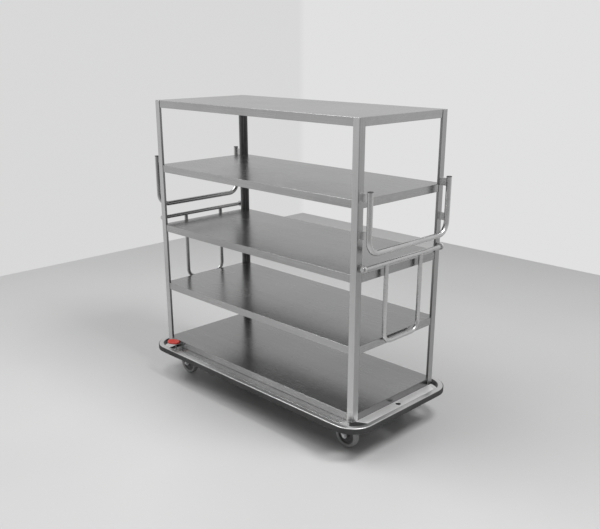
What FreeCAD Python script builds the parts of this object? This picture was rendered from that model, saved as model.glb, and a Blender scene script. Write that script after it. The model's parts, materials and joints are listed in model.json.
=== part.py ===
import FreeCAD, Part
import math
import os

os.makedirs("parts", exist_ok=True)

V = FreeCAD.Vector

# Five-tier shelf trolley in folded stainless sheet, standing on four swivel castors.
# The frame is in mm: +Z up, the floor at z = 0, +X along the length, +Y towards the back.
# The origin is on the floor under the middle of the trolley.

# Rack: outer size over the four corner posts
LENGTH = 1400.0
WIDTH = 600.0
SHELF_TOPS = (216.0, 541.0, 870.0, 1192.0, 1524.0)
SHELF_NAMES = ("tray_bottom", "shelf_4", "shelf_3", "shelf_2", "shelf_top")
SHEET = 2.0
SHELF_FLANGE = 36.0
SHELF_LIP = 12.0
SHELF_CORNER_R = 3.0
POST_LEG = 35.0
POST_BEND_R = 4.0

# Stiffening hat sections under the shelf sheets
HAT_WIDTH = 70.0
HAT_DEPTH = 22.0
HAT_BRIM = 15.0
HAT_LENGTH = 1240.0

# Base ring in rectangular tube, with the rubber bumper around it
RING_OFFSET_X = 73.0
RING_OFFSET_Y = 71.0
RING_WIDTH = 25.0
RING_TOP = 180.0
RING_HEIGHT = 30.0
RING_CORNER_R = 115.0
RING_WALL = 2.0
RING_EDGE_R = 3.0
BUMPER_THICK = 4.0
BUMPER_LOW = 152.0
BUMPER_HIGH = 177.0
BUMPER_EDGE_R = 1.8

# Deck plates between the rack and the ring
DECK_SHEET = 2.0
DECK_UNDER_RACK = 30.0
END_CUT_RACK = 276.0
END_CUT_RING = 253.0
SIDE_CUT_RACK = 669.0
SIDE_CUT_RING = 650.0
DECK_CUT_FLANGE = 26.0
DECK_CUT_LIP = 9.0
PEDAL_BAY = 100.0
TOW_HOLE_R = 13.0
TOW_HOLE_OUT = 23.0

# Bolsters that carry the castors, and the rails between them
BOLSTER_HALF = 65.0
BOLSTER_LOW = 160.0
BOLSTER_SHEET = 4.0
RAIL_Y = 150.0
RAIL_WIDTH = 30.0
RAIL_WALL = 2.0

# Castors
SWIVEL_X = 569.0
SWIVEL_Y = 228.0
TRAIL = 38.0
WHEEL_R = 62.5
TYRE_INNER_R = 47.0
TYRE_WIDTH = 32.0
HUB_R = 17.0
HUB_WIDTH = 38.0
AXLE_R = 6.0
RUNNING = 0.05
PLATE_X = 105.0
PLATE_Y = 85.0
PLATE_THICK = 4.0
BOLT_SPACING_X = 80.0
BOLT_SPACING_Y = 60.0
BOLT_R = 4.0
BOLT_HOLE_R = 4.25
RACE_R = 31.0
CROWN_TOP = 148.5
CROWN_LOW = 143.5
FORK_GAP = 40.0
FORK_SHEET = 4.0
KINGPIN_R = 8.0
KINGPIN_BORE_R = 4.5

# Push handles, one on each end
HANDLE_OUT = 45.0
HANDLE_R = 12.5
HANDLE_WALL = 2.0
HANDLE_LEG_Y = 276.0
HANDLE_TOP = 1229.0
HANDLE_BAR_Z = 966.0
HANDLE_BEND_R = 60.0
CAP_THICK = 3.0
BRACKET_ZS = (1044.0, 1204.0)
BRACKET_HEIGHT = 35.0
BRACKET_SHEET = 4.0

# Swing hoops, one on each end, each hanging from its own hinge rod
HOOP_OUT = 20.0
HOOP_R = 10.0
HOOP_WALL = 2.0
HOOP_LEG_Y = 123.0
HOOP_ROD_Z = 899.0
HOOP_BAR_Z = 526.0
HOOP_BEND_R = 48.0
ROD_HALF = 288.0
LUG_Y = 272.0
LUG_THICK = 8.0
LUG_R = 16.0

# Foot brake at the front left corner
SHAFT_X = -556.0
SHAFT_Z = 172.0
SHAFT_R = 5.0
SHAFT_FRONT_Y = -319.0
SHAFT_BACK_Y = 246.0
LEVER_THICK = 6.0
LEVER_HALF = 5.5
LEVER_RISE_X = -608.0
PAD_X = -613.0
PAD_Y = -332.0
PAD_Z = 210.0
PAD_LENGTH = 64.0
PAD_WIDTH = 50.0
PAD_THICK = 8.0
PAD_TILT = 6.0
PAD_TURN = 40.0
PAD_CORNER_R = 22.0
PAD_BOSS_R = 9.0
PAD_BOSS_LENGTH = 12.0
FINGER_ARM = 13.0
FINGER_START = 9.0
FINGER_NOSE_R = 4.0
FINGER_THICK = 10.0
PLUNGER_R = 4.0
PLUNGER_TOP = 169.7
SHOE_R = 12.0
SHOE_TIP_Z = 117.2
SHOE_EDGE_Z = 124.0
SHOE_TOP_Z = 129.0
BEARING_Y = 190.0
BEARING_THICK = 10.0

HALF_L = LENGTH / 2.0
HALF_W = WIDTH / 2.0


def box(x0, x1, y0, y1, z0, z1):
    return Part.makeBox(x1 - x0, y1 - y0, z1 - z0, V(x0, y0, z0))


def cylinder(radius, base, direction, height):
    return Part.makeCylinder(radius, height, base, direction)


def fuse(shapes):
    whole = shapes[0]
    for shape in shapes[1:]:
        whole = whole.fuse(shape)
    return whole.removeSplitter()


def mirror_x(shape):
    return shape.mirror(V(0, 0, 0), V(1, 0, 0))


def mirror_y(shape):
    return shape.mirror(V(0, 0, 0), V(0, 1, 0))


def save(name, shape):
    shape.exportStep("parts/" + name + ".step")


def rounded_face(half_x, half_y, radius, z):
    # A horizontal rectangle centred on the origin with rounded corners.
    edges = []
    corners = ((1, 1, 0.0), (-1, 1, 90.0), (-1, -1, 180.0), (1, -1, 270.0))
    arcs = []
    for sign_x, sign_y, start in corners:
        centre = V(sign_x * (half_x - radius), sign_y * (half_y - radius), z)
        arcs.append(Part.makeCircle(radius, centre, V(0, 0, 1), start, start + 90.0))
    for i in range(4):
        edges.append(arcs[i])
        end = arcs[i].valueAt(arcs[i].LastParameter)
        following = arcs[(i + 1) % 4]
        begin = following.valueAt(following.FirstParameter)
        edges.append(Part.makeLine(end, begin))
    return Part.Face(Part.Wire(edges))


def rounded_block(half_x, half_y, radius, z0, z1):
    return rounded_face(half_x, half_y, radius, z0).extrude(V(0, 0, z1 - z0))


def round_level_edges(shape, z, radius):
    # Rounds every edge that lies flat at height z.
    edges = []
    for edge in shape.Edges:
        bounds = edge.BoundBox
        if abs(bounds.ZMin - z) < 1e-4 and abs(bounds.ZMax - z) < 1e-4:
            edges.append(edge)
    return shape.makeFillet(radius, edges)


def u_tube(x, leg_y, top_z, bar_z, bend_r, radius):
    # A solid round bar bent to a U that is open at the top, in the plane X = x.
    start = V(x, -leg_y, top_z)
    left_low = V(x, -leg_y, bar_z + bend_r)
    bar_left = V(x, -leg_y + bend_r, bar_z)
    bar_right = V(x, leg_y - bend_r, bar_z)
    right_low = V(x, leg_y, bar_z + bend_r)
    end = V(x, leg_y, top_z)
    reach = bend_r * math.sin(math.radians(45.0))
    left_mid = V(x, -leg_y + bend_r - reach, bar_z + bend_r - reach)
    right_mid = V(x, leg_y - bend_r + reach, bar_z + bend_r - reach)
    path = Part.Wire([
        Part.makeLine(start, left_low),
        Part.Arc(left_low, left_mid, bar_left).toShape(),
        Part.makeLine(bar_left, bar_right),
        Part.Arc(bar_right, right_mid, right_low).toShape(),
        Part.makeLine(right_low, end),
    ])
    section = Part.Wire([Part.makeCircle(radius, start, V(0, 0, 1))])
    return path.makePipeShell([section], True, True)


# Shelves: each is one sheet folded down along its four sides, with a lip turned inwards.
def shelf(top):
    half_x = HALF_L - SHEET
    half_y = HALF_W - SHEET
    outer = rounded_block(half_x, half_y, SHELF_CORNER_R, top - SHELF_FLANGE, top)
    outer = round_level_edges(outer, top, 1.2)
    pocket = rounded_block(half_x - SHEET, half_y - SHEET, SHELF_CORNER_R - SHEET,
                           top - SHELF_FLANGE + SHEET, top - SHEET)
    mouth = rounded_block(half_x - SHELF_LIP, half_y - SHELF_LIP, SHELF_CORNER_R,
                          top - SHELF_FLANGE, top - SHEET)
    return outer.cut(pocket).cut(mouth)


for shelf_name, shelf_top in zip(SHELF_NAMES, SHELF_TOPS):
    save(shelf_name, shelf(shelf_top))


# Hat sections spot-welded under the sheets, one along the middle of each shelf.
def hat_section(top):
    half = HAT_WIDTH / 2.0
    low = top - SHEET - HAT_DEPTH
    high = top - SHEET
    crown = box(-HAT_LENGTH / 2.0, HAT_LENGTH / 2.0, -half, half, low, high)
    hollow = box(-HAT_LENGTH / 2.0, HAT_LENGTH / 2.0, -half + SHEET, half - SHEET, low + SHEET, high)
    section = crown.cut(hollow)
    for side in (-1, 1):
        near = side * (half - SHEET)
        far = side * (half + HAT_BRIM)
        brim = box(-HAT_LENGTH / 2.0, HAT_LENGTH / 2.0, min(near, far), max(near, far), high - SHEET, high)
        section = section.fuse(brim)
    return section.removeSplitter()


save("shelf_stiffeners", Part.makeCompound([hat_section(top) for top in SHELF_TOPS]))


# Corner posts: equal angles, open towards the middle, from the base to the top shelf.
def post(sign_x, sign_y):
    low = RING_TOP
    high = SHELF_TOPS[-1]
    outer = box(HALF_L - POST_LEG, HALF_L, HALF_W - POST_LEG, HALF_W, low, high)
    corner = [edge for edge in outer.Edges
              if abs(edge.BoundBox.XMin - HALF_L) < 1e-4 and abs(edge.BoundBox.YMin - HALF_W) < 1e-4
              and edge.BoundBox.ZLength > 1.0]
    outer = outer.makeFillet(POST_BEND_R, corner)
    inner = box(HALF_L - POST_LEG, HALF_L - SHEET, HALF_W - POST_LEG, HALF_W - SHEET, low, high)
    corner = [edge for edge in inner.Edges
              if abs(edge.BoundBox.XMin - HALF_L + SHEET) < 1e-4
              and abs(edge.BoundBox.YMin - HALF_W + SHEET) < 1e-4
              and edge.BoundBox.ZLength > 1.0]
    inner = inner.makeFillet(POST_BEND_R - SHEET, corner)
    angle = outer.cut(inner)
    if sign_x < 0:
        angle = mirror_x(angle)
    if sign_y < 0:
        angle = mirror_y(angle)
    return angle


save("post_front_left", post(-1, -1))
save("post_front_right", post(1, -1))
save("post_back_left", post(-1, 1))
save("post_back_right", post(1, 1))


# Base ring: a closed loop of rectangular tube with generous corners.
RING_HALF_X = HALF_L + RING_OFFSET_X
RING_HALF_Y = HALF_W + RING_OFFSET_Y
RING_LOW = RING_TOP - RING_HEIGHT
RING_IN_X = RING_HALF_X - RING_WIDTH
RING_IN_Y = RING_HALF_Y - RING_WIDTH


def loop(outset, inset, z0, z1):
    # The band between the ring's outer face moved out by outset and its inner face moved in by inset.
    outer = rounded_block(RING_HALF_X + outset, RING_HALF_Y + outset, RING_CORNER_R + outset, z0, z1)
    inner = rounded_block(RING_IN_X - inset, RING_IN_Y - inset, RING_CORNER_R - RING_WIDTH - inset, z0, z1)
    return outer.cut(inner)


ring = loop(0.0, 0.0, RING_LOW, RING_TOP)
ring = round_level_edges(ring, RING_TOP, RING_EDGE_R)
ring = round_level_edges(ring, RING_LOW, RING_EDGE_R)
ring_cavity = loop(-RING_WALL, -RING_WALL, RING_LOW + RING_WALL, RING_TOP - RING_WALL)
save("base_ring", ring.cut(ring_cavity))

# Rubber bumper around the outside of the ring.
bumper = rounded_block(RING_HALF_X + BUMPER_THICK, RING_HALF_Y + BUMPER_THICK,
                       RING_CORNER_R + BUMPER_THICK, BUMPER_LOW, BUMPER_HIGH)
bumper = round_level_edges(bumper, BUMPER_HIGH, BUMPER_EDGE_R)
bumper = round_level_edges(bumper, BUMPER_LOW, BUMPER_EDGE_R)
bumper = bumper.cut(rounded_block(RING_HALF_X, RING_HALF_Y, RING_CORNER_R, BUMPER_LOW, BUMPER_HIGH))
save("bumper", bumper)

# Deck plates: they stop short of the posts with slanted cuts, so each corner of the base is open.
DECK_LOW = RING_TOP - DECK_SHEET
ring_bay = rounded_block(RING_IN_X, RING_IN_Y, RING_CORNER_R - RING_WIDTH, RING_LOW, RING_TOP)


def flat_plate(points, z0, z1):
    outline = [V(x, y, z0) for x, y in points]
    return Part.Face(Part.makePolygon(outline + outline[:1])).extrude(V(0, 0, z1 - z0))


def end_plate():
    inner_x = HALF_L - DECK_UNDER_RACK
    half = [(RING_IN_X, END_CUT_RING), (HALF_L, END_CUT_RACK), (inner_x, END_CUT_RACK)]
    mirrored = [(x, -y) for x, y in reversed(half)]
    plate = flat_plate(half + mirrored, DECK_LOW, RING_TOP)
    hole = cylinder(TOW_HOLE_R, V(HALF_L + TOW_HOLE_OUT, 0, DECK_LOW - 1.0), V(0, 0, 1), DECK_SHEET + 2.0)
    return plate.common(ring_bay).cut(hole)


def cut_flange():
    # Folded down along the slanted cut, with a short lip turned along the front of the rack.
    low = DECK_LOW - DECK_CUT_FLANGE
    strip = flat_plate([(SIDE_CUT_RING, -RING_IN_Y), (SIDE_CUT_RACK, -HALF_W),
                        (SIDE_CUT_RACK - DECK_SHEET, -HALF_W), (SIDE_CUT_RING - DECK_SHEET, -RING_IN_Y)],
                       low, DECK_LOW)
    lip = box(SIDE_CUT_RACK - DECK_SHEET, SIDE_CUT_RACK + DECK_CUT_LIP, -HALF_W, -HALF_W + DECK_SHEET,
              low, DECK_LOW)
    return strip.fuse(lip)


def side_plate(left_end):
    inner_y = -HALF_W + DECK_UNDER_RACK
    right_end = [(SIDE_CUT_RING, -RING_IN_Y), (SIDE_CUT_RACK, -HALF_W), (SIDE_CUT_RACK, inner_y)]
    plate = flat_plate(right_end + left_end, DECK_LOW, RING_TOP)
    return plate.fuse(cut_flange())


pedal_end = [(-HALF_L + PEDAL_BAY, -HALF_W + DECK_UNDER_RACK), (-HALF_L + PEDAL_BAY, -RING_IN_Y)]
slanted_end = [(-SIDE_CUT_RACK, -HALF_W + DECK_UNDER_RACK), (-SIDE_CUT_RACK, -HALF_W),
               (-SIDE_CUT_RING, -RING_IN_Y)]
front_plate = side_plate(pedal_end)
back_plate = side_plate(slanted_end).fuse(mirror_x(cut_flange()))
save("deck_plate_right", end_plate())
save("deck_plate_left", mirror_x(end_plate()))
save("deck_plate_front", front_plate.common(ring_bay).removeSplitter())
save("deck_plate_back", mirror_y(back_plate.common(ring_bay).removeSplitter()))

# Bolsters: channels open at the top, right across the ring under the castors' ends of the rack.
BOLSTER_HIGH = DECK_LOW


def plate_holes(centre_x, centre_y, z0, z1):
    holes = []
    for sign_x in (-1, 1):
        for sign_y in (-1, 1):
            base = V(centre_x + sign_x * BOLT_SPACING_X / 2.0, centre_y + sign_y * BOLT_SPACING_Y / 2.0, z0)
            holes.append(cylinder(BOLT_HOLE_R, base, V(0, 0, 1), z1 - z0))
    return holes


def bolster():
    x0 = SWIVEL_X - BOLSTER_HALF
    x1 = SWIVEL_X + BOLSTER_HALF
    channel = box(x0, x1, -RING_IN_Y, RING_IN_Y, BOLSTER_LOW, BOLSTER_HIGH)
    channel = channel.cut(box(x0 + BOLSTER_SHEET, x1 - BOLSTER_SHEET, -RING_IN_Y, RING_IN_Y,
                              BOLSTER_LOW + BOLSTER_SHEET, BOLSTER_HIGH))
    for side in (-1, 1):
        for hole in plate_holes(SWIVEL_X, side * SWIVEL_Y, BOLSTER_LOW - 1.0, BOLSTER_LOW + 6.0):
            channel = channel.cut(hole)
        channel = channel.cut(cylinder(KINGPIN_R + 1.0, V(SWIVEL_X, side * SWIVEL_Y, BOLSTER_LOW - 1.0),
                                       V(0, 0, 1), 8.0))
    return channel


lever_slot = box(-622.0, SHAFT_X + 12.0, PAD_Y - 4.0, SHAFT_FRONT_Y + 4.0, BOLSTER_LOW - 1.0,
                 BOLSTER_LOW + BOLSTER_SHEET + 1.0)
save("bolster_right", bolster())
save("bolster_left", mirror_x(bolster()).cut(lever_slot))


def rail(centre_y):
    x1 = SWIVEL_X - BOLSTER_HALF
    tube = box(-x1, x1, centre_y - RAIL_WIDTH / 2.0, centre_y + RAIL_WIDTH / 2.0, BOLSTER_LOW, BOLSTER_HIGH)
    bore = box(-x1, x1, centre_y - RAIL_WIDTH / 2.0 + RAIL_WALL, centre_y + RAIL_WIDTH / 2.0 - RAIL_WALL,
               BOLSTER_LOW + RAIL_WALL, BOLSTER_HIGH - RAIL_WALL)
    return tube.cut(bore)


save("base_rails", Part.makeCompound([rail(-RAIL_Y), rail(RAIL_Y)]))


# Push handles: round tube bent to a U, held off each end by four angle brackets.
def push_handle(sign_x):
    x = sign_x * (HALF_L + HANDLE_OUT)
    outer = u_tube(x, HANDLE_LEG_Y, HANDLE_TOP, HANDLE_BAR_Z, HANDLE_BEND_R, HANDLE_R)
    inner = u_tube(x, HANDLE_LEG_Y, HANDLE_TOP, HANDLE_BAR_Z, HANDLE_BEND_R, HANDLE_R - HANDLE_WALL)
    return outer.cut(inner)


save("push_handle_left", push_handle(-1))
save("push_handle_right", push_handle(1))

caps = []
for sign_x in (-1, 1):
    for sign_y in (-1, 1):
        base = V(sign_x * (HALF_L + HANDLE_OUT), sign_y * HANDLE_LEG_Y, HANDLE_TOP)
        disc = cylinder(HANDLE_R, base, V(0, 0, 1), CAP_THICK)
        disc = round_level_edges(disc, HANDLE_TOP + CAP_THICK, 1.0)
        plug = cylinder(HANDLE_R - HANDLE_WALL, base - V(0, 0, 14.0), V(0, 0, 1), 14.0)
        caps.append(disc.fuse(plug).removeSplitter())
save("handle_caps", Part.makeCompound(caps))


def handle_bracket(sign_x, sign_y, centre_z):
    z0 = centre_z - BRACKET_HEIGHT / 2.0
    z1 = centre_z + BRACKET_HEIGHT / 2.0
    web_y = HANDLE_LEG_Y
    pad = box(HALF_L, HALF_L + BRACKET_SHEET, web_y - 8.0, web_y + 18.0, z0, z1)
    web = box(HALF_L, HALF_L + HANDLE_OUT, web_y - BRACKET_SHEET / 2.0, web_y + BRACKET_SHEET / 2.0, z0, z1)
    leg = cylinder(HANDLE_R, V(HALF_L + HANDLE_OUT, HANDLE_LEG_Y, z0 - 1.0), V(0, 0, 1), BRACKET_HEIGHT + 2.0)
    bracket = pad.fuse(web).cut(leg).removeSplitter()
    if sign_x < 0:
        bracket = mirror_x(bracket)
    if sign_y < 0:
        bracket = mirror_y(bracket)
    return bracket


brackets = []
for sign_x in (-1, 1):
    for sign_y in (-1, 1):
        for centre_z in BRACKET_ZS:
            brackets.append(handle_bracket(sign_x, sign_y, centre_z))
save("handle_brackets", Part.makeCompound(brackets))


# Swing hoops: a hinge rod with closed ends turns in two lugs and carries the U-shaped hoop.
def hinge_rod(sign_x):
    x = sign_x * (HALF_L + HOOP_OUT)
    rod = cylinder(HOOP_R, V(x, -ROD_HALF, HOOP_ROD_Z), V(0, 1, 0), 2.0 * ROD_HALF)
    ends = []
    for edge in rod.Edges:
        if edge.BoundBox.YLength < 1e-4:
            ends.append(edge)
    rod = rod.makeFillet(1.0, ends)
    wall = HOOP_WALL + 1.0
    return rod.cut(cylinder(HOOP_R - HOOP_WALL, V(x, -ROD_HALF + wall, HOOP_ROD_Z), V(0, 1, 0),
                            2.0 * (ROD_HALF - wall)))


def swing_hoop(sign_x):
    x = sign_x * (HALF_L + HOOP_OUT)
    outer = u_tube(x, HOOP_LEG_Y, HOOP_ROD_Z, HOOP_BAR_Z, HOOP_BEND_R, HOOP_R)
    inner = u_tube(x, HOOP_LEG_Y, HOOP_ROD_Z, HOOP_BAR_Z, HOOP_BEND_R, HOOP_R - HOOP_WALL)
    rod = cylinder(HOOP_R, V(x, -ROD_HALF, HOOP_ROD_Z), V(0, 1, 0), 2.0 * ROD_HALF)
    pieces = outer.cut(inner).cut(rod).Solids
    return max(pieces, key=lambda piece: piece.Volume)


def rod_lug(sign_x, sign_y):
    x = HALF_L + HOOP_OUT
    y0 = LUG_Y
    block = box(HALF_L, x, y0, y0 + LUG_THICK, HOOP_ROD_Z - LUG_R, HOOP_ROD_Z + LUG_R)
    nose = cylinder(LUG_R, V(x, y0, HOOP_ROD_Z), V(0, 1, 0), LUG_THICK)
    bore = cylinder(HOOP_R + RUNNING, V(x, y0 - 1.0, HOOP_ROD_Z), V(0, 1, 0), LUG_THICK + 2.0)
    lug = block.fuse(nose).cut(bore).removeSplitter()
    if sign_x < 0:
        lug = mirror_x(lug)
    if sign_y < 0:
        lug = mirror_y(lug)
    return lug


save("hinge_rod_left", hinge_rod(-1))
save("hinge_rod_right", hinge_rod(1))
save("swing_hoop_left", swing_hoop(-1))
save("swing_hoop_right", swing_hoop(1))
save("rod_lugs", Part.makeCompound([rod_lug(-1, -1), rod_lug(-1, 1), rod_lug(1, -1), rod_lug(1, 1)]))


# Castors: built about their own swivel axis, with the wheel trailing towards +X.
def castor_plate():
    low = BOLSTER_LOW - PLATE_THICK
    plate = rounded_block(PLATE_X / 2.0, PLATE_Y / 2.0, 8.0, low, BOLSTER_LOW)
    for hole in plate_holes(0.0, 0.0, low - 1.0, BOLSTER_LOW + 1.0):
        plate = plate.cut(hole)
    race = Part.makeCone(RACE_R, RACE_R - 4.0, low - CROWN_TOP - 0.5, V(0, 0, CROWN_TOP + 0.5))
    bore = cylinder(KINGPIN_R, V(0, 0, CROWN_TOP), V(0, 0, 1), BOLSTER_LOW - CROWN_TOP + 1.0)
    return plate.fuse(race).cut(bore).removeSplitter()


def kingpin():
    stem = cylinder(KINGPIN_R, V(0, 0, CROWN_LOW - 4.0), V(0, 0, 1), BOLSTER_LOW - CROWN_LOW + 4.0)
    head = cylinder(KINGPIN_R + 5.0, V(0, 0, CROWN_LOW - 4.0), V(0, 0, 1), 3.5)
    bore = cylinder(KINGPIN_BORE_R, V(0, 0, CROWN_LOW - 5.0), V(0, 0, 1), 30.0)
    return stem.fuse(head).cut(bore).removeSplitter()


def fork():
    # Pressed fork: a round crown with two tapered legs that reach back to the axle.
    crown = cylinder(RACE_R - 1.0, V(0, 0, CROWN_LOW), V(0, 0, 1), CROWN_TOP - CROWN_LOW)
    outer_y = FORK_GAP / 2.0 + FORK_SHEET
    bridge = box(-22.0, 34.0, -outer_y, outer_y, CROWN_LOW, CROWN_TOP)
    top = crown.fuse(bridge)
    hole = cylinder(KINGPIN_R + 0.5, V(0, 0, CROWN_LOW - 1.0), V(0, 0, 1), 10.0)
    top = top.cut(hole)
    outline = Part.makePolygon([
        V(-22.0, 0, CROWN_TOP), V(34.0, 0, CROWN_TOP), V(50.0, 0, WHEEL_R + 8.0),
        V(TRAIL, 0, WHEEL_R), V(TRAIL - 13.0, 0, WHEEL_R - 6.0), V(-22.0, 0, CROWN_LOW - 16.0),
        V(-22.0, 0, CROWN_TOP)])
    side = Part.Face(outline).extrude(V(0, FORK_SHEET, 0))
    tip = cylinder(14.5, V(TRAIL, 0, WHEEL_R), V(0, 1, 0), FORK_SHEET)
    leg = side.fuse(tip)
    leg = leg.cut(cylinder(AXLE_R, V(TRAIL, -1.0, WHEEL_R), V(0, 1, 0), FORK_SHEET + 2.0))
    front_leg = leg.copy()
    front_leg.translate(V(0, -outer_y, 0))
    back_leg = leg.copy()
    back_leg.translate(V(0, FORK_GAP / 2.0, 0))
    return fuse([top, front_leg, back_leg])


def axle():
    outer_y = FORK_GAP / 2.0 + FORK_SHEET
    rod = cylinder(AXLE_R, V(TRAIL, -outer_y, WHEEL_R), V(0, 1, 0), 2.0 * outer_y + 10.0)
    head = hexagon(10.0, V(TRAIL, -outer_y - 6.0, WHEEL_R), V(0, 1, 0), 6.0)
    nut = hexagon(10.0, V(TRAIL, outer_y, WHEEL_R), V(0, 1, 0), 7.0)
    return fuse([rod, head, nut])


def hexagon(radius, base, direction, height):
    points = []
    for i in range(7):
        turn = math.radians(60.0 * i)
        points.append(V(radius * math.cos(turn), radius * math.sin(turn), 0))
    prism = Part.Face(Part.makePolygon(points)).extrude(V(0, 0, height))
    prism.Placement = FreeCAD.Placement(base, FreeCAD.Rotation(V(0, 0, 1), direction))
    return prism


def turned(profile, centre):
    # A ring turned about the wheel's axle from (radius, offset along the axle) points.
    points = [V(centre.x, centre.y + offset, centre.z + radius) for radius, offset in profile]
    points.append(points[0])
    return Part.Face(Part.makePolygon(points)).revolve(centre, V(0, 1, 0), 360.0)


def tyre():
    half = TYRE_WIDTH / 2.0
    centre = V(TRAIL, 0, WHEEL_R)
    profile = [
        (TYRE_INNER_R, -half + 4.0), (TYRE_INNER_R + 2.0, -half + 1.5), (TYRE_INNER_R + 4.0, -half),
        (WHEEL_R - 6.0, -half), (WHEEL_R - 2.5, -half + 1.8), (WHEEL_R - 0.6, -half + 5.0),
        (WHEEL_R, -half + 9.0), (WHEEL_R, half - 9.0), (WHEEL_R - 0.6, half - 5.0),
        (WHEEL_R - 2.5, half - 1.8), (WHEEL_R - 6.0, half), (TYRE_INNER_R + 4.0, half),
        (TYRE_INNER_R + 2.0, half - 1.5), (TYRE_INNER_R, half - 4.0)]
    return turned(profile, centre)


def wheel_centre():
    rim_half = TYRE_WIDTH / 2.0 - 4.0
    hub_half = HUB_WIDTH / 2.0
    bore = AXLE_R + RUNNING
    rim_r = TYRE_INNER_R - 5.0
    web_half = 4.0
    profile = [
        (bore, -hub_half), (HUB_R - 1.5, -hub_half), (HUB_R, -hub_half + 1.5), (HUB_R + 2.0, -web_half - 1.0),
        (HUB_R + 4.0, -web_half), (rim_r - 3.0, -web_half), (rim_r, -web_half - 2.5),
        (rim_r + 1.0, -rim_half), (TYRE_INNER_R, -rim_half), (TYRE_INNER_R, rim_half),
        (rim_r + 1.0, rim_half), (rim_r, web_half + 2.5), (rim_r - 3.0, web_half),
        (HUB_R + 4.0, web_half), (HUB_R + 2.0, web_half + 1.0), (HUB_R, hub_half - 1.5),
        (HUB_R - 1.5, hub_half), (bore, hub_half)]
    return turned(profile, V(TRAIL, 0, WHEEL_R))


# Each castor's place, and the way its wheel trails at rest: all outwards but the back right one.
CASTORS = {"fl": (-1, -1, -1), "fr": (1, -1, 1), "bl": (-1, 1, -1), "br": (1, 1, -1)}


def placed(shape, sign_x, sign_y, trail):
    moved = shape.copy()
    if trail < 0:
        moved.rotate(V(0, 0, 0), V(0, 0, 1), 180.0)
    moved.translate(V(sign_x * SWIVEL_X, sign_y * SWIVEL_Y, 0))
    return moved


castor_parts = {"castor_plate": castor_plate(), "fork": fork(), "axle": axle(),
                "wheel_centre": wheel_centre(), "tyre": tyre()}
for corner, place in CASTORS.items():
    for part_name, part_shape in castor_parts.items():
        save(part_name + "_" + corner, placed(part_shape, *place))
pin = kingpin()
save("kingpins", Part.makeCompound([placed(pin, *place) for place in CASTORS.values()]))


def castor_bolt(x, y):
    low = BOLSTER_LOW - PLATE_THICK
    head = hexagon(7.5, V(x, y, low - 5.3), V(0, 0, 1), 5.3)
    shank = cylinder(BOLT_R, V(x, y, low), V(0, 0, 1), 17.0)
    nut = hexagon(7.5, V(x, y, BOLSTER_LOW + BOLSTER_SHEET), V(0, 0, 1), 6.5)
    return fuse([head, shank, nut])


bolts = []
for sign_x, sign_y, trail in CASTORS.values():
    for along in (-1, 1):
        for across in (-1, 1):
            bolts.append(castor_bolt(sign_x * SWIVEL_X + along * BOLT_SPACING_X / 2.0,
                                     sign_y * SWIVEL_Y + across * BOLT_SPACING_Y / 2.0))
save("castor_bolts", Part.makeCompound(bolts))


# Foot brake: the pad and lever turn the cross shaft, whose fingers push a plunger
# down through each left-hand castor's hollow kingpin on to the tyre.
def tilted(shape):
    turned_shape = shape.copy()
    turned_shape.rotate(V(PAD_X, PAD_Y, PAD_Z), V(0, 0, 1), PAD_TURN)
    turned_shape.rotate(V(PAD_X, PAD_Y, PAD_Z), V(0, 1, 0), PAD_TILT)
    return turned_shape


def pad_block(length, width, corner, z0, z1):
    block = rounded_block(length / 2.0, width / 2.0, corner, z0, z1)
    block.translate(V(PAD_X, PAD_Y, 0))
    return block


pad = pad_block(PAD_LENGTH, PAD_WIDTH, PAD_CORNER_R, PAD_Z, PAD_Z + PAD_THICK)
pad = round_level_edges(pad, PAD_Z + PAD_THICK, 2.5)
for i in range(-2, 3):
    groove = box(PAD_X + 10.0 * i - 1.0, PAD_X + 10.0 * i + 1.0, PAD_Y - 15.0, PAD_Y + 15.0,
                 PAD_Z + PAD_THICK - 1.0, PAD_Z + PAD_THICK + 1.0)
    pad = pad.cut(groove)
save("pedal_pad", tilted(pad))

saddle = tilted(pad_block(PAD_LENGTH - 6.0, PAD_WIDTH - 3.0, PAD_CORNER_R - 2.0, PAD_Z - 3.0, PAD_Z))
arm = box(LEVER_RISE_X, SHAFT_X, SHAFT_FRONT_Y - LEVER_THICK, SHAFT_FRONT_Y,
          SHAFT_Z - LEVER_HALF, SHAFT_Z + LEVER_HALF)
arm_end = cylinder(LEVER_HALF, V(SHAFT_X, SHAFT_FRONT_Y - LEVER_THICK, SHAFT_Z), V(0, 1, 0), LEVER_THICK)
riser = box(LEVER_RISE_X, LEVER_RISE_X + 6.5, SHAFT_FRONT_Y - LEVER_THICK, SHAFT_FRONT_Y,
            SHAFT_Z, PAD_Z - 4.0)
boss_base = V(PAD_X, PAD_Y, PAD_Z - PAD_BOSS_LENGTH)
boss = tilted(cylinder(PAD_BOSS_R, boss_base, V(0, 0, 1), PAD_BOSS_LENGTH - 1.0))
save("pedal_lever", fuse([saddle, boss, arm, arm_end, riser]))

shaft_length = SHAFT_BACK_Y - SHAFT_FRONT_Y
save("brake_shaft", cylinder(SHAFT_R, V(SHAFT_X, SHAFT_FRONT_Y, SHAFT_Z), V(0, 1, 0), shaft_length))


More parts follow.
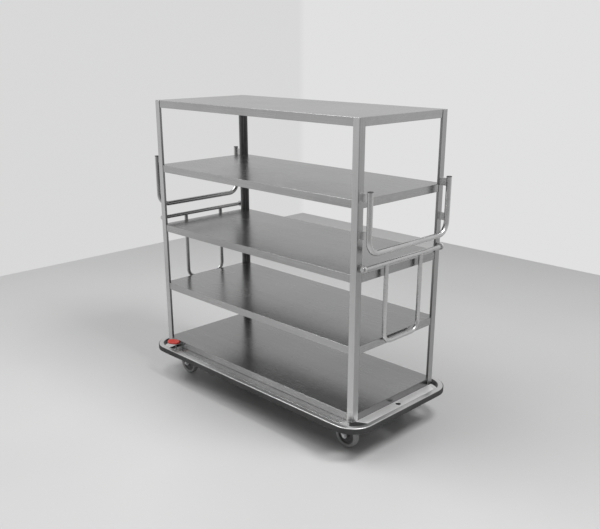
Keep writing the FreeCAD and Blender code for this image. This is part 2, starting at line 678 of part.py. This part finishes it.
def finger(centre_y):
    # A collar on the shaft with a rounded finger over the plunger.
    y0 = centre_y - FINGER_THICK / 2.0
    collar = cylinder(7.5, V(SHAFT_X, y0, SHAFT_Z), V(0, 1, 0), FINGER_THICK)
    rise = FINGER_ARM * math.sin(math.radians(FINGER_START))
    reach = FINGER_ARM * math.cos(math.radians(FINGER_START))
    nose = cylinder(FINGER_NOSE_R, V(SHAFT_X - reach, y0, SHAFT_Z + rise), V(0, 1, 0), FINGER_THICK)
    web = box(SHAFT_X - reach, SHAFT_X, y0, y0 + FINGER_THICK,
              SHAFT_Z - FINGER_NOSE_R + rise, SHAFT_Z + FINGER_NOSE_R)
    bore = cylinder(SHAFT_R, V(SHAFT_X, y0 - 1.0, SHAFT_Z), V(0, 1, 0), FINGER_THICK + 2.0)
    return fuse([collar, nose, web]).cut(bore)


save("brake_fingers", Part.makeCompound([finger(-SWIVEL_Y), finger(SWIVEL_Y)]))


def plunger(centre_y):
    centre = V(-SWIVEL_X, centre_y, 0)
    outline = [V(0, 0, SHOE_TIP_Z), V(SHOE_R, 0, SHOE_EDGE_Z), V(SHOE_R, 0, SHOE_TOP_Z),
               V(PLUNGER_R, 0, SHOE_TOP_Z), V(PLUNGER_R, 0, PLUNGER_TOP), V(0, 0, PLUNGER_TOP),
               V(0, 0, SHOE_TIP_Z)]
    body = Part.Face(Part.makePolygon(outline)).revolve(V(0, 0, 0), V(0, 0, 1), 360.0)
    body.translate(centre)
    return body


save("brake_plunger_fl", plunger(-SWIVEL_Y))
save("brake_plunger_bl", plunger(SWIVEL_Y))


def shaft_bearing(centre_y):
    y0 = centre_y - BEARING_THICK / 2.0
    block = box(SHAFT_X - 11.0, SHAFT_X + 11.0, y0, y0 + BEARING_THICK,
                BOLSTER_LOW + BOLSTER_SHEET, SHAFT_Z + 8.0)
    bore = cylinder(SHAFT_R + RUNNING, V(SHAFT_X, y0 - 1.0, SHAFT_Z), V(0, 1, 0), BEARING_THICK + 2.0)
    return block.cut(bore)


save("shaft_bearings", Part.makeCompound([shaft_bearing(-BEARING_Y), shaft_bearing(BEARING_Y)]))
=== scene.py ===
import json
import math

import bpy
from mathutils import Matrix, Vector

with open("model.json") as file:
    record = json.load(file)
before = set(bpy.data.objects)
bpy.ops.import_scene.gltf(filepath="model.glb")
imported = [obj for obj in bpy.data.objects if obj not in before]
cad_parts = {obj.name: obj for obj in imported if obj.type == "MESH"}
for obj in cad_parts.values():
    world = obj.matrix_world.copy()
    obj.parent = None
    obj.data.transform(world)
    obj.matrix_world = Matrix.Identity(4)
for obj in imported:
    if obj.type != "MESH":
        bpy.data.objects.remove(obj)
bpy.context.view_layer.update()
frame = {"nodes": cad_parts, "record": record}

# Five-tier stainless shelf trolley. Everything is in metres in the frame of the CAD model:
# +Z up, the floor at z = 0, +X towards the right end, +Y towards the back.

nodes = frame["nodes"]
scene = bpy.context.scene
scene.view_settings.view_transform = "Standard"


# ---------------------------------------------------------------------------
# Materials
# ---------------------------------------------------------------------------


class Surface:
    """One material's node tree, with short names for the nodes that every finish uses."""

    def __init__(self, name):
        self.material = bpy.data.materials.new(name)
        self.material.use_nodes = True
        self.tree = self.material.node_tree
        self.shader = self.tree.nodes["Principled BSDF"]
        coordinates = self.add("ShaderNodeTexCoord")
        self.place = coordinates.outputs["Object"]
        self.facing = coordinates.outputs["Normal"]

    def add(self, kind, **settings):
        node = self.tree.nodes.new(kind)
        for key, value in settings.items():
            setattr(node, key, value)
        return node

    def link(self, source, target):
        self.tree.links.new(source, target)

    def noise(self, scale, detail=3.0, roughness=0.5, distortion=0.0):
        # scale is features per metre along X, Y and Z.
        mapping = self.add("ShaderNodeMapping")
        mapping.inputs["Scale"].default_value = scale
        self.link(self.place, mapping.inputs["Vector"])
        noise = self.add("ShaderNodeTexNoise")
        noise.inputs["Scale"].default_value = 1.0
        noise.inputs["Detail"].default_value = detail
        noise.inputs["Roughness"].default_value = roughness
        noise.inputs["Distortion"].default_value = distortion
        self.link(mapping.outputs["Vector"], noise.inputs["Vector"])
        return noise.outputs["Fac"]

    def spread(self, value, low, high, start=0.3, end=0.7):
        # Maps the useful part of a noise value on to low..high.
        node = self.add("ShaderNodeMapRange")
        node.inputs["From Min"].default_value = start
        node.inputs["From Max"].default_value = end
        node.inputs["To Min"].default_value = low
        node.inputs["To Max"].default_value = high
        self.link(value, node.inputs["Value"])
        return node.outputs["Result"]

    def maths(self, operation, *values):
        node = self.add("ShaderNodeMath", operation=operation)
        for socket, value in zip(node.inputs, values):
            self.set_or_link(socket, value)
        return node.outputs["Value"]

    def mix(self, factor, first, second):
        node = self.add("ShaderNodeMix", data_type="RGBA")
        for socket, value in zip((node.inputs["Factor"], node.inputs["A"], node.inputs["B"]),
                                 (factor, first, second)):
            self.set_or_link(socket, value)
        return node.outputs["Result"]

    def set_or_link(self, socket, value):
        if isinstance(value, (int, float, tuple)):
            socket.default_value = value
        else:
            self.link(value, socket)

    def along(self, vector, axis):
        split = self.add("ShaderNodeSeparateXYZ")
        self.link(vector, split.inputs["Vector"])
        return split.outputs[axis]

    def normal_share(self, axis):
        # 1 where the surface faces along the axis, 0 where it lies along it.
        size = self.maths("ABSOLUTE", self.along(self.facing, axis))
        return self.maths("GREATER_THAN", size, 0.7)

    def away_from_middle(self, axes):
        # 0 where the surface faces the trolley's middle along any of the axes, 1 elsewhere.
        least = None
        for axis in axes:
            side = self.maths("SIGN", self.along(self.place, axis))
            outward = self.maths("MULTIPLY", self.along(self.facing, axis), side)
            least = outward if least is None else self.maths("MINIMUM", least, outward)
        return self.spread(least, 0.0, 1.0, -0.75, 0.05)

    def below(self, height, fade):
        # 1 below the height, fading to 0 above it.
        return self.spread(self.along(self.place, "Z"), 1.0, 0.0, height, height + fade)

    def finish(self, colour, roughness, height, depth, edge=0.0, **settings):
        # height is the relief, depth its size in metres. settings go on the shader's own sockets.
        self.set_or_link(self.shader.inputs["Base Color"], colour)
        self.set_or_link(self.shader.inputs["Roughness"], roughness)
        bump = self.add("ShaderNodeBump")
        bump.inputs["Strength"].default_value = 0.6
        bump.inputs["Distance"].default_value = depth
        if edge:
            # Folded and deburred edges catch the light.
            rounding = self.add("ShaderNodeBevel", samples=6)
            rounding.inputs["Radius"].default_value = edge
            self.link(rounding.outputs["Normal"], bump.inputs["Normal"])
        self.link(height, bump.inputs["Height"])
        self.link(bump.outputs["Normal"], self.shader.inputs["Normal"])
        for key, value in settings.items():
            self.shader.inputs[key.replace("_", " ")].default_value = value
        return self.material


def grey(value):
    return (value, value, value, 1.0)


def shade(base, factor):
    return tuple(min(channel * factor, 1.0) for channel in base[:3]) + (1.0,)


def streak_scale(axis, length, width):
    # Brush lines: long along one axis and narrow across it.
    scale = [1.0 / width] * 3
    scale["XYZ".index(axis)] = 1.0 / length
    return tuple(scale)


STROKE_LENGTH = 0.16
LINE_WIDTH = 0.0012
BAND_LENGTH = 0.9
BAND_WIDTH = 0.022
SEAM_SHADOW_FADE = 0.0035
EDGE_RADIUS = 0.002


def brushed_steel(name, base, roughness, axis, end_axis, line_width=LINE_WIDTH, facing=None, painted_inner_shade=1.0,
                  seam_shadow_height=None):
    """Satin stainless, brushed along one axis (faces across it along end_axis), with handling marks.

    facing scales the tone of the faces along an axis: painted light where a factor is above 1, painted shade
    where it is below. The inner shade factor paints shade on the faces towards the middle.
    The seam shadow height is that of a joint; just above it the colour is painted near-black as the contact
    shadow in the gap.
    """
    s = Surface(name)
    across = s.normal_share(axis)
    lines = s.noise(streak_scale(axis, STROKE_LENGTH, line_width), detail=4.0, roughness=0.65)
    end_lines = s.noise(streak_scale(end_axis, STROKE_LENGTH, line_width), detail=4.0, roughness=0.65)
    grain = s.mix(across, lines, end_lines)
    bands = s.noise(streak_scale(axis, BAND_LENGTH, BAND_WIDTH), detail=2.0)
    hands = s.noise((5.0, 5.0, 5.0), detail=5.0, roughness=0.62, distortion=0.6)
    cloud = s.noise((1.7, 1.7, 1.7), detail=2.0)
    scuffs = s.noise((14.0, 46.0, 30.0), detail=6.0, roughness=0.75, distortion=1.4)
    marks = s.spread(scuffs, 0.0, 1.0, 0.66, 0.74)
    tone = s.maths("ADD", s.spread(grain, 0.88, 1.0), s.spread(bands, -0.03, 0.03))
    tone = s.maths("ADD", tone, s.spread(cloud, -0.06, 0.04))
    tone = s.maths("ADD", tone, s.spread(hands, -0.05, 0.02))
    plain = base
    # Painted light and shade by face direction: each listed axis scales the tone of the faces along it.
    for face_axis, factor in (facing or {}).items():
        plain = s.mix(s.normal_share(face_axis), plain, shade(base, factor))
    # Painted shade: the faces towards the trolley's middle are darkened.
    if painted_inner_shade != 1.0:
        plain = s.mix(s.away_from_middle("XY"), shade(base, painted_inner_shade), plain)
    colour = s.mix(tone, grey(0.0), plain)
    colour = s.mix(s.maths("MULTIPLY", marks, 0.2), colour, shade(base, 1.35))
    # Painted contact shadow: a near-black band just above the joint height.
    if seam_shadow_height is not None:
        colour = s.mix(s.below(seam_shadow_height, SEAM_SHADOW_FADE), colour, grey(0.03))
    rough = s.maths("ADD", s.spread(grain, roughness - 0.03, roughness + 0.04), s.spread(hands, -0.02, 0.03))
    rough = s.maths("ADD", rough, s.maths("MULTIPLY", marks, 0.08))
    height = s.maths("ADD", grain, s.maths("MULTIPLY", hands, 0.2))
    return s.finish(colour, rough, height, 0.00002, edge=EDGE_RADIUS, Metallic=1.0)


def tube_steel(name, base, roughness, painted_inner_shade=1.0):
    """Polished round tube: fine polishing grain and faint dulling from hands."""
    s = Surface(name)
    polish = s.noise((900.0, 900.0, 900.0), detail=2.0)
    hands = s.noise((16.0, 16.0, 16.0), detail=5.0, roughness=0.6, distortion=0.5)
    cloud = s.noise((3.0, 3.0, 3.0), detail=2.0)
    tone = s.maths("ADD", s.spread(hands, 0.88, 0.98), s.spread(cloud, -0.04, 0.02))
    colour = s.mix(tone, grey(0.0), base)
    # Painted shade: the faces towards the middle along X are darkened.
    if painted_inner_shade != 1.0:
        colour = s.mix(s.away_from_middle("X"), shade(base, painted_inner_shade), colour)
    rough = s.maths("ADD", s.spread(hands, roughness - 0.03, roughness + 0.05), s.spread(polish, -0.02, 0.02))
    height = s.maths("ADD", polish, s.maths("MULTIPLY", hands, 0.3))
    return s.finish(colour, rough, height, 0.000015, Metallic=1.0)


def zinc(name, base):
    """Bright zinc plate with its cloudy crystals and greyed hollows."""
    s = Surface(name)
    crystal = s.noise((90.0, 90.0, 90.0), detail=6.0, roughness=0.7)
    cloud = s.noise((22.0, 22.0, 22.0), detail=3.0, distortion=0.8)
    dirt = s.spread(s.noise((38.0, 38.0, 60.0), detail=6.0, roughness=0.7), 0.0, 1.0, 0.52, 0.75)
    tone = s.maths("ADD", s.spread(crystal, 0.86, 1.06), s.spread(cloud, -0.08, 0.05))
    colour = s.mix(tone, grey(0.0), base)
    colour = s.mix(s.maths("MULTIPLY", dirt, 0.5), colour, grey(0.09))
    rough = s.maths("ADD", s.spread(crystal, 0.28, 0.42), s.maths("MULTIPLY", dirt, 0.25))
    return s.finish(colour, rough, crystal, 0.00006, Metallic=0.9)


def rubber(name, base, dust, mould):
    """Matt rubber with a moulded skin, chalky dust and pale rubbed patches."""
    s = Surface(name)
    skin = s.noise((mould, mould, mould), detail=4.0, roughness=0.6)
    cloud = s.noise((9.0, 9.0, 14.0), detail=4.0, roughness=0.6, distortion=0.4)
    rubbed = s.spread(s.noise((26.0, 26.0, 120.0), detail=6.0, roughness=0.75), 0.0, 1.0, 0.56, 0.72)
    colour = s.mix(s.spread(cloud, 0.0, 0.45), base, dust)
    colour = s.mix(s.maths("MULTIPLY", rubbed, 0.4), colour, dust)
    rough = s.maths("ADD", s.spread(skin, 0.6, 0.74), s.maths("MULTIPLY", rubbed, 0.1))
    return s.finish(colour, rough, skin, 0.0002)


def moulded(name, base, roughness, pale, speck):
    """Moulded plastic: fine orange-peel skin, small colour drift and pale scuffs on the high spots."""
    s = Surface(name)
    peel = s.noise((520.0, 520.0, 520.0), detail=3.0)
    drift = s.noise((24.0, 24.0, 24.0), detail=3.0)
    scuff = s.spread(s.noise((70.0, 160.0, 90.0), detail=6.0, roughness=0.75), 0.0, 1.0, 0.58, 0.72)
    dots = s.spread(s.noise((speck, speck, speck), detail=2.0), 0.0, 1.0, 0.6, 0.72)
    colour = s.mix(s.spread(drift, 0.0, 1.0), shade(base, 0.86), shade(base, 1.1))
    colour = s.mix(s.maths("MULTIPLY", scuff, 0.3), colour, pale)
    colour = s.mix(s.maths("MULTIPLY", dots, 0.18), colour, shade(base, 0.55))
    rough = s.spread(peel, roughness - 0.04, roughness + 0.05)
    rough = s.maths("ADD", rough, s.maths("MULTIPLY", scuff, 0.2))
    return s.finish(colour, rough, peel, 0.00012)


# Height of the joint under the tray where the painted contact shadow begins.
TRAY_SEAM_SHADOW_HEIGHT = 0.180
MATERIALS = {
    # The facing and inner shade factors below are painted light and shade on each part's faces.
    "shelf": brushed_steel("satin_sheet", grey(0.34), 0.24, "X", "Y", facing={"X": 1.3, "Y": 1.4}),
    "tray": brushed_steel("satin_tray", grey(0.31), 0.24, "X", "Y",
                          facing={"X": 0.5, "Y": 1.28}, seam_shadow_height=TRAY_SEAM_SHADOW_HEIGHT),
    "post": brushed_steel("satin_post", grey(0.54), 0.30, "Z", "X", facing={"X": 0.82, "Y": 1.16}, painted_inner_shade=0.6),
    "ring": brushed_steel("satin_ring", grey(0.66), 0.34, "X", "Y", painted_inner_shade=0.3),
    "side_plate": brushed_steel("satin_side_plate", grey(0.68), 0.24, "X", "Y"),
    "end_plate": brushed_steel("satin_end_plate", grey(0.85), 0.55, "Y", "X"),
    "frame_steel": brushed_steel("plain_section", grey(0.34), 0.45, "X", "Y", line_width=0.002),
    "bracket": tube_steel("bracket_steel", grey(0.66), 0.42),
    "stainless_tube": tube_steel("polished_tube", grey(0.62), 0.25, painted_inner_shade=0.48),
    "brake_steel": tube_steel("brake_steel", grey(0.60), 0.34),
    "zinc_steel": zinc("bright_zinc", (0.78, 0.79, 0.80, 1.0)),
    "bumper_rubber": rubber("bumper_rubber", grey(0.026), grey(0.08), 900.0),
    "grey_tyre": rubber("grey_tyre", grey(0.26), grey(0.46), 700.0),
    "cap_plastic": moulded("cap_plastic", grey(0.035), 0.5, grey(0.2), 300.0),
    "wheel_plastic": moulded("wheel_plastic", grey(0.10), 0.36, grey(0.3), 260.0),
    "red_plastic": moulded("red_plastic", (0.56, 0.035, 0.02, 1.0), 0.36, (0.8, 0.3, 0.25, 1.0), 420.0),
}


FINISH_BY_NODE = {
    "tray_bottom": "tray",
    "base_ring": "ring",
    "deck_plate_front": "side_plate",
    "deck_plate_back": "side_plate",
    "deck_plate_left": "end_plate",
    "deck_plate_right": "end_plate",
    "handle_brackets": "bracket",
    "rod_lugs": "bracket",
}


def finish_of(node_name, slot_name):
    if node_name in FINISH_BY_NODE:
        return FINISH_BY_NODE[node_name]
    if node_name.startswith("post"):
        return "post"
    if slot_name == "stainless_sheet":
        return "shelf"
    return slot_name


for part in frame["record"]["subparts"]:
    node = nodes[part["node"]]
    node.data.materials.clear()
    node.data.materials.append(MATERIALS[finish_of(part["node"], part["material_slot"])])


# ---------------------------------------------------------------------------
# Floor and light
# ---------------------------------------------------------------------------

ROOM_LEFT = -3.24
ROOM_BACK = 3.33
FLOOR_REACH = 5.5
LEFT_WALL_LEVEL = 0.69
BACK_WALL_LEVEL = 0.75
GLOSSY_LEVEL = 0.73
FILL_LEVEL = 0.24
DARK_LEVEL = 0.42


def pale_floor():
    mesh = bpy.data.meshes.new("floor")
    corners = [(ROOM_LEFT, -FLOOR_REACH, 0.0), (FLOOR_REACH, -FLOOR_REACH, 0.0),
               (FLOOR_REACH, ROOM_BACK, 0.0), (ROOM_LEFT, ROOM_BACK, 0.0)]
    mesh.from_pydata(corners, [], [(0, 1, 2, 3)])
    floor = bpy.data.objects.new("floor", mesh)
    scene.collection.objects.link(floor)
    s = Surface("pale_floor")
    cloud = s.noise((0.5, 0.5, 0.5), detail=3.0)
    fine = s.noise((60.0, 60.0, 60.0), detail=3.0)
    colour = s.mix(s.spread(cloud, 0.0, 1.0), grey(0.48), grey(0.52))
    mesh.materials.append(s.finish(colour, s.spread(fine, 0.42, 0.5), fine, 0.0001))


pale_floor()


def area_light(name, place, aim, width, height, power):
    data = bpy.data.lights.new(name, "AREA")
    data.shape = "RECTANGLE"
    data.size = width
    data.size_y = height
    data.energy = power
    lamp = bpy.data.objects.new(name, data)
    lamp.location = place
    lamp.rotation_euler = (Vector(aim) - Vector(place)).to_track_quat("-Z", "Y").to_euler()
    scene.collection.objects.link(lamp)


area_light("key", (2.6, 0.3, 4.8), (0.4, 0.0, 0.0), 1.8, 1.8, 190.0)
area_light("ceiling", (-1.7, -1.9, 5.2), (-0.4, -0.4, 0.0), 4.0, 4.0, 245.0)


def studio_world():
    # Seen directly the room has its two walls' tones. Glossy surfaces see it darken towards the
    # front right, where the room has no lamp, and it lights matt surfaces less than the lamps do.
    world = bpy.data.worlds.new("studio")
    world.use_nodes = True
    world.cycles.sampling_method = "NONE"
    tree = world.node_tree
    outlook = tree.nodes.new("ShaderNodeTexCoord").outputs["Generated"]
    paths = tree.nodes.new("ShaderNodeLightPath")

    def share_towards(direction, start, end):
        along = tree.nodes.new("ShaderNodeVectorMath")
        along.operation = "DOT_PRODUCT"
        along.inputs[1].default_value = Vector(direction).normalized()
        tree.links.new(outlook, along.inputs[0])
        share = tree.nodes.new("ShaderNodeMapRange")
        share.inputs["From Min"].default_value = start
        share.inputs["From Max"].default_value = end
        tree.links.new(along.outputs["Value"], share.inputs["Value"])
        return share.outputs["Result"]

    def between(share, low, high):
        node = tree.nodes.new("ShaderNodeMix")
        tree.links.new(share, node.inputs["Factor"])
        for socket, value in ((node.inputs["A"], low), (node.inputs["B"], high)):
            if isinstance(value, float):
                socket.default_value = value
            else:
                tree.links.new(value, socket)
        return node.outputs["Result"]

    walls = between(share_towards((1.0, 1.0, 0.0), -0.004, 0.004), LEFT_WALL_LEVEL, BACK_WALL_LEVEL)
    glossy = between(share_towards((1.0, -1.0, -0.3), 0.1, 0.8), GLOSSY_LEVEL, DARK_LEVEL)
    matt = between(paths.outputs["Is Diffuse Ray"], glossy, FILL_LEVEL)
    level = between(paths.outputs["Is Camera Ray"], matt, walls)
    background = tree.nodes["Background"]
    background.inputs["Color"].default_value = grey(1.0)
    tree.links.new(level, background.inputs["Strength"])
    scene.world = world


studio_world()


# ---------------------------------------------------------------------------
# Camera
# ---------------------------------------------------------------------------

camera_data = bpy.data.cameras.new("camera")
camera_data.sensor_width = 36.0
camera_data.lens = 45.788
camera_data.shift_x = -0.0012
camera_data.shift_y = 0.0603
camera = bpy.data.objects.new("camera", camera_data)
camera.location = (2.7176, -2.6431, 1.8019)
camera.rotation_euler = (math.radians(71.37), 0.0, math.radians(45.07))
scene.collection.objects.link(camera)
scene.camera = camera
